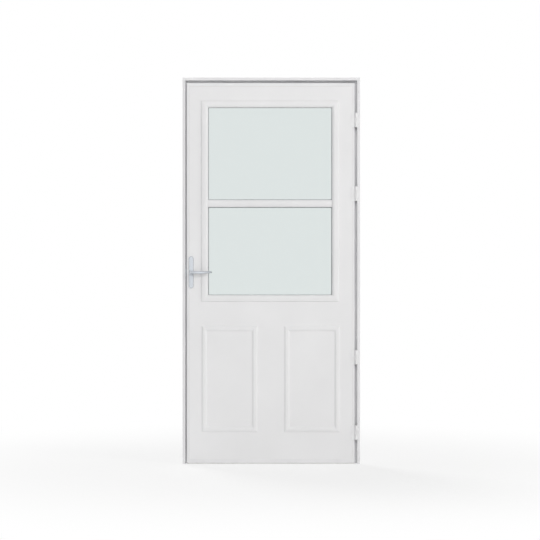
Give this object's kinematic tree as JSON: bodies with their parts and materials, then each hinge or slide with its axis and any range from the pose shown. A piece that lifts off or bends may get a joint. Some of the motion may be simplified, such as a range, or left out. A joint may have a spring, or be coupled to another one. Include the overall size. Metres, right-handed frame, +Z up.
{
  "type": "storm door",
  "caption": "White full storm door with a two-part upper window, moulded lower panels, side hinges, lever handles and its own Z-bar frame.",
  "frame": {"origin": "centre of the header flange's back face, which lies on the house's door casing", "axes": "+X towards the hinge side, -Y outdoors, +Z up"},
  "size_m": [0.952, 0.1188, 2.073],
  "materials": {
    "white_aluminium": "satin",
    "core_wood": "raw",
    "pile_seal": "matte",
    "black_rubber": "matte",
    "clear_glass": "polished",
    "satin_nickel": "satin",
    "zinc_steel": "satin"
  },
  "bodies": {
    "frame": {"header": "white_aluminium", "hinge_jamb": "white_aluminium", "latch_jamb": "white_aluminium", "header_seal": "pile_seal", "hinge_side_seal": "pile_seal", "latch_side_seal": "pile_seal", "jamb_hinge_leaves": "white_aluminium", "hinge_pins": "zinc_steel", "strike_plate": "zinc_steel"},
    "leaf": {"top_rail": "core_wood", "latch_stile": "core_wood", "hinge_stile": "core_wood", "lower_slab": "core_wood", "exterior_skin": "white_aluminium", "interior_skin": "white_aluminium", "latch_edge_cap": "white_aluminium", "hinge_edge_cap": "white_aluminium", "top_edge_cap": "white_aluminium", "bottom_expander": "white_aluminium", "bottom_sweep": "black_rubber", "surround_top": "white_aluminium", "surround_right": "white_aluminium", "surround_bottom": "white_aluminium", "surround_left": "white_aluminium", "retainer_uprights": "white_aluminium", "retainer_top": "white_aluminium", "retainer_bottom": "white_aluminium", "track_liner_uprights": "white_aluminium", "track_liner_head": "white_aluminium", "track_liner_sill": "white_aluminium", "upper_sash_stiles": "white_aluminium", "upper_sash_top_rail": "white_aluminium", "meeting_rail": "white_aluminium", "upper_glass": "clear_glass", "lower_sash_stiles": "white_aluminium", "lower_sash_top_rail": "white_aluminium", "lower_sash_bottom_rail": "white_aluminium", "lower_glass": "clear_glass", "glass_gaskets": "black_rubber", "door_hinge_leaves": "white_aluminium", "outer_escutcheon": "satin_nickel", "inner_escutcheon": "satin_nickel", "latch_faceplate": "zinc_steel", "latch_bolt": "zinc_steel"},
    "lever": {"outer_lever": "satin_nickel", "inner_lever": "satin_nickel", "spindle": "zinc_steel"}
  },
  "joints": [
    {"name": "door_swing", "type": "hinge", "parent": "frame", "child": "leaf", "pos_m": [0.4532, -0.0058, -1.029], "axis": [0, 0, 1], "range_deg": [0, 110]},
    {"name": "lever_turn", "type": "hinge", "parent": "leaf", "child": "lever", "pos_m": [-0.4294, -0.0216, -1.0365], "axis": [0, 1, 0], "range_deg": [0, 40], "stiffness_Nm_per_rad": 0.6, "springref_deg": -34.38}
  ]
}
